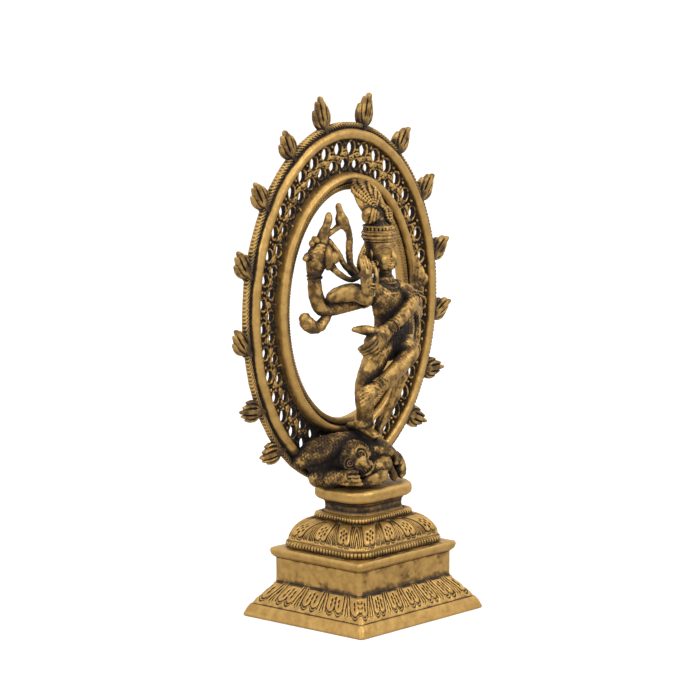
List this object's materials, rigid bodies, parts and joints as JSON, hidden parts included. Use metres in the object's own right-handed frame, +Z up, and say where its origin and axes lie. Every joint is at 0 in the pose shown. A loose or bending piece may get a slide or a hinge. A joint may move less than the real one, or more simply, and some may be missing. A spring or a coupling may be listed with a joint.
{
  "type": "brass nataraja statue",
  "caption": "Cast brass dancing figure on a small dwarf inside an upright oval ring edged with flames, on a tiered rectangular pedestal.",
  "frame": {"origin": "centre of the pedestal's footprint, on the surface it stands on", "axes": "+Z up, -Y the front of the statue, +X to the viewer's right from the front"},
  "size_m": [0.1286, 0.06, 0.1965],
  "materials": {
    "antique_brass": "antique, satin, darkened in the recesses and rubbed bright on the edges",
    "dark_brass": "antique, heavily darkened openwork and hair",
    "plated_steel": "zinc plated"
  },
  "bodies": {
    "root": {"anklets": "antique_brass", "arm_serpent": "antique_brass", "armlets": "antique_brass", "bracelets": "antique_brass", "clamp_screw": "plated_steel", "clamp_washer": "plated_steel", "crown": "antique_brass", "drum": "antique_brass", "dwarf_body": "antique_brass", "dwarf_head": "dark_brass", "dwarf_left_arm": "antique_brass", "dwarf_left_leg": "antique_brass", "dwarf_right_arm": "antique_brass", "dwarf_right_leg": "antique_brass", "ear_pendants": "antique_brass", "flame_01": "antique_brass", "flame_02": "antique_brass", "flame_03": "antique_brass", "flame_04": "antique_brass", "flame_05": "antique_brass", "flame_06": "antique_brass", "flame_07": "antique_brass", "flame_08": "antique_brass", "flame_09": "antique_brass", "flame_10": "antique_brass", "flame_11": "antique_brass", "flame_12": "antique_brass", "flame_13": "antique_brass", "flame_14": "antique_brass", "frieze_left": "dark_brass", "frieze_right": "dark_brass", "front_left_arm": "antique_brass", "front_right_arm": "antique_brass", "hair_wing_left": "dark_brass", "hair_wing_right": "dark_brass", "hand_flame": "antique_brass", "hanging_sash": "antique_brass", "head": "antique_brass", "headdress_fan": "dark_brass", "inner_rim_left": "antique_brass", "inner_rim_right": "antique_brass", "left_leg": "antique_brass", "lotus_cushion": "antique_brass", "lower_bead_band": "antique_brass", "necklace": "antique_brass", "outer_rim_left": "antique_brass", "outer_rim_right": "antique_brass", "plinth": "antique_brass", "rear_left_arm": "antique_brass", "rear_right_arm": "antique_brass", "right_leg": "antique_brass", "seat": "antique_brass", "side_sash": "antique_brass", "torso": "antique_brass", "upper_bead_band": "antique_brass", "waist_belt": "antique_brass", "waist_sash_fan": "antique_brass"}
  },
  "joints": []
}
